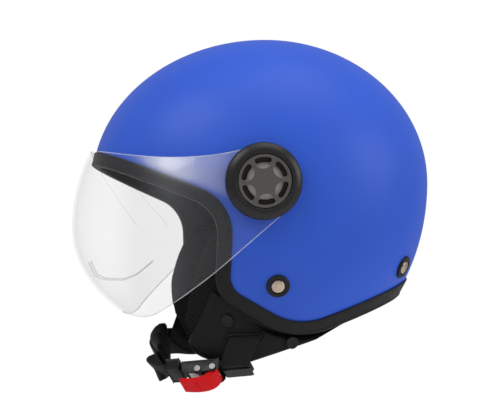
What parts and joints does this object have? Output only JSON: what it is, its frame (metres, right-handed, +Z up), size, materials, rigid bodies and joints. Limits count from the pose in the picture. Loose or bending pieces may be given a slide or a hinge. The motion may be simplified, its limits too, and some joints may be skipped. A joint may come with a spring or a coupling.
{
  "type": "open face motorcycle helmet",
  "caption": "Open face motorcycle helmet with a clear bubble visor on side pivots, rubber edge trim, padded lining, ear flaps and a chin strap with a ratchet buckle.",
  "frame": {"origin": "middle of the visor's pivot axis, in the middle of the head cavity, where the wearer's head holds the helmet", "axes": "+Z up, the face looks along -Y, the wearer's left is +X"},
  "size_m": [0.2592, 0.2868, 0.2811],
  "materials": {
    "shell_paint": "satin",
    "trim_rubber": null,
    "liner_foam": null,
    "lining_fabric": null,
    "leatherette": null,
    "clear_visor": null,
    "black_plastic": "satin",
    "gunmetal_plastic": "satin",
    "red_plastic": null,
    "steel": null,
    "rivet_steel": null,
    "strap_webbing": null
  },
  "bodies": {
    "helmet": {"outer_shell": "shell_paint", "edge_trim": "trim_rubber", "foam_liner": "liner_foam", "crown_lining": "lining_fabric", "brow_lining": "lining_fabric", "nape_lining": "lining_fabric", "neck_roll": "leatherette", "chin_pad": "lining_fabric", "buckle_body": "black_plastic", "pawl_pin": "steel", "lever_pin": "steel", "lever_spring": "steel", "ladder_strip": "black_plastic", "strap_keeper": "black_plastic", "strap_clamp": "black_plastic", "flap_stud_front_left": "black_plastic", "stud_socket_front_left": "black_plastic", "strap_rivet_front_left": "rivet_steel", "rivet_ring_front_left": "black_plastic", "rivet_washer_front_left": "steel", "flap_stud_rear_left": "black_plastic", "stud_socket_rear_left": "black_plastic", "strap_rivet_rear_left": "rivet_steel", "rivet_ring_rear_left": "black_plastic", "rivet_washer_rear_left": "steel", "cheek_pad_left": "lining_fabric", "ear_flap_left": "leatherette", "pivot_plate_left": "black_plastic", "friction_washer_left": "steel", "cover_ring_left": "black_plastic", "pivot_screw_left": "steel", "pivot_nut_left": "steel", "chin_strap_left": "strap_webbing", "flap_stud_front_right": "black_plastic", "stud_socket_front_right": "black_plastic", "strap_rivet_front_right": "rivet_steel", "rivet_ring_front_right": "black_plastic", "rivet_washer_front_right": "steel", "flap_stud_rear_right": "black_plastic", "stud_socket_rear_right": "black_plastic", "strap_rivet_rear_right": "rivet_steel", "rivet_ring_rear_right": "black_plastic", "rivet_washer_rear_right": "steel", "cheek_pad_right": "lining_fabric", "ear_flap_right": "leatherette", "pivot_plate_right": "black_plastic", "friction_washer_right": "steel", "cover_ring_right": "black_plastic", "pivot_screw_right": "steel", "pivot_nut_right": "steel", "chin_strap_right": "strap_webbing"},
    "visor": {"visor": "clear_visor"},
    "knob_left": {"pivot_knob_left": "gunmetal_plastic"},
    "knob_right": {"pivot_knob_right": "gunmetal_plastic"},
    "lever": {"buckle_lever": "red_plastic"},
    "pawl": {"buckle_pawl": "steel"}
  },
  "joints": [
    {"name": "visor_swing", "type": "hinge", "parent": "helmet", "child": "visor", "pos_m": [0, 0, 0], "axis": [-1, 0, 0], "range_deg": [0, 65]},
    {"name": "knob_turn_left", "type": "hinge", "parent": "helmet", "child": "knob_left", "pos_m": [0.126, 0, 0], "axis": [1, 0, 0], "range_deg": [0, 90]},
    {"name": "knob_turn_right", "type": "hinge", "parent": "helmet", "child": "knob_right", "pos_m": [-0.126, 0, 0], "axis": [-1, 0, 0], "range_deg": [0, 90]},
    {"name": "lever_lift", "type": "hinge", "parent": "helmet", "child": "lever", "pos_m": [0.07257, -0.03014, -0.15024], "axis": [0.809, -0.3549, 0.4686], "range_deg": [0, 40], "stiffness_Nm_per_rad": 0.02, "springref_deg": -17.19},
    {"name": "pawl_lift", "type": "hinge", "parent": "helmet", "child": "pawl", "pos_m": [0.06864, -0.04136, -0.15197], "axis": [0.809, -0.3549, 0.4686], "range_deg": [0, 20]}
  ],
  "couplings": [
    {"joint": "pawl_lift", "follows": "lever_lift", "ratio": 0.45}
  ]
}
